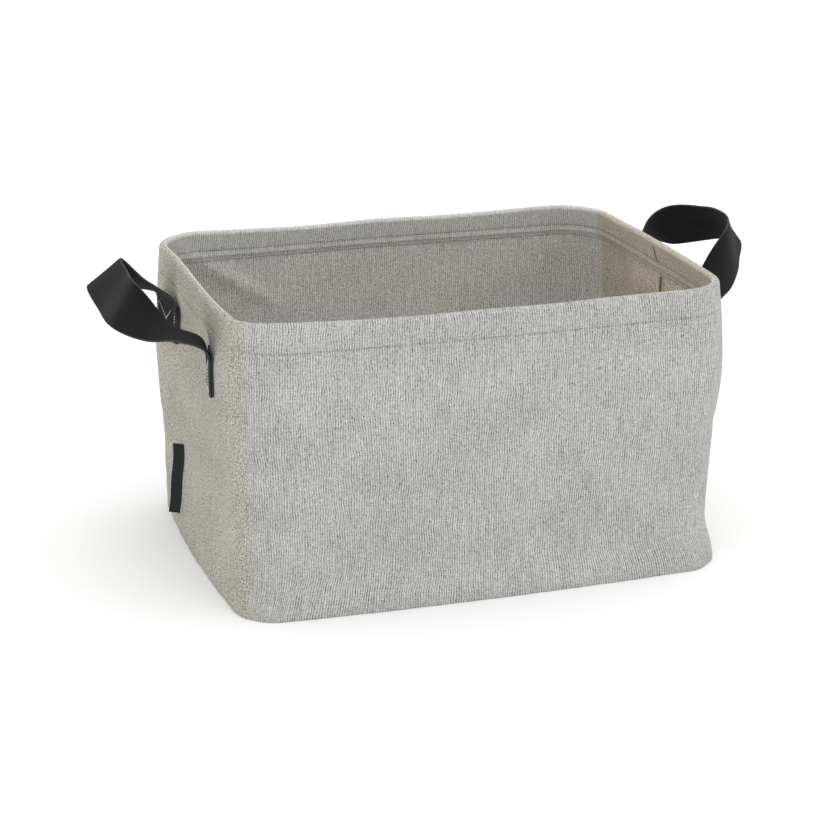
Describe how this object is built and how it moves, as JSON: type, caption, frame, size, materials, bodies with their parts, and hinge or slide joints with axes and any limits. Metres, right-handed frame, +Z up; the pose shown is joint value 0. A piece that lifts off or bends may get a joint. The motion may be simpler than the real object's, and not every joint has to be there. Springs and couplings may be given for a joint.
{
  "type": "fabric storage bin",
  "caption": "Rectangular fabric storage bin with a wire-sprung hemmed rim, a stiffened base and a webbing strap handle on each end.",
  "frame": {"origin": "bottom centre of the bin, on the floor", "axes": "+X along the bin towards one handle, +Y across it, +Z up"},
  "size_m": [0.6359, 0.359, 0.2919],
  "materials": {
    "linen_outside": "matt woven melange, light cool grey",
    "linen_inside": "matt woven melange, warmer grey",
    "webbing": "ribbed webbing, charcoal, slight sheen",
    "thread": "matt sewing thread",
    "box_thread": "pale grey sewing thread",
    "label": "woven satin tape, black",
    "base_board": "stiff sheet",
    "rim_wire": "drawn spring wire",
    "wire_ferrule": "crimped sleeve"
  },
  "bodies": {
    "base": {"wall_fabric": "linen_outside", "side_seam_tape": "linen_inside", "base_fabric": "linen_outside", "base_board": "base_board", "base_lining": "linen_inside", "base_seam_binding": "linen_inside", "base_seam_stitching": "thread", "label_tab": "label", "label_stitching": "thread"},
    "rim": {"rim_hem": "linen_outside", "rim_wire": "rim_wire", "wire_ferrule": "wire_ferrule", "hem_outer_stitching": "thread", "hem_inner_stitching_low": "thread", "hem_inner_stitching_high": "thread", "left_front_sewn_end": "webbing", "left_back_sewn_end": "webbing", "right_front_sewn_end": "webbing", "right_back_sewn_end": "webbing", "left_box_stitching": "box_thread", "right_box_stitching": "box_thread"},
    "left_handle": {"left_handle_loop": "webbing"},
    "right_handle": {"right_handle_loop": "webbing"}
  },
  "joints": [
    {"name": "rim_collapse", "type": "slide", "parent": "base", "child": "rim", "axis": [0, 0, -1], "range_m": [0, 0.155], "deforming": ["wall_fabric", "side_seam_tape", "label_tab", "label_stitching"]},
    {"name": "left_handle_swing", "type": "hinge", "parent": "rim", "child": "left_handle", "pos_m": [-0.233, 0, 0.229], "axis": [0, 1, 0], "range_deg": [-100, 38]},
    {"name": "right_handle_swing", "type": "hinge", "parent": "rim", "child": "right_handle", "pos_m": [0.233, 0, 0.229], "axis": [0, -1, 0], "range_deg": [-105, 10]}
  ]
}
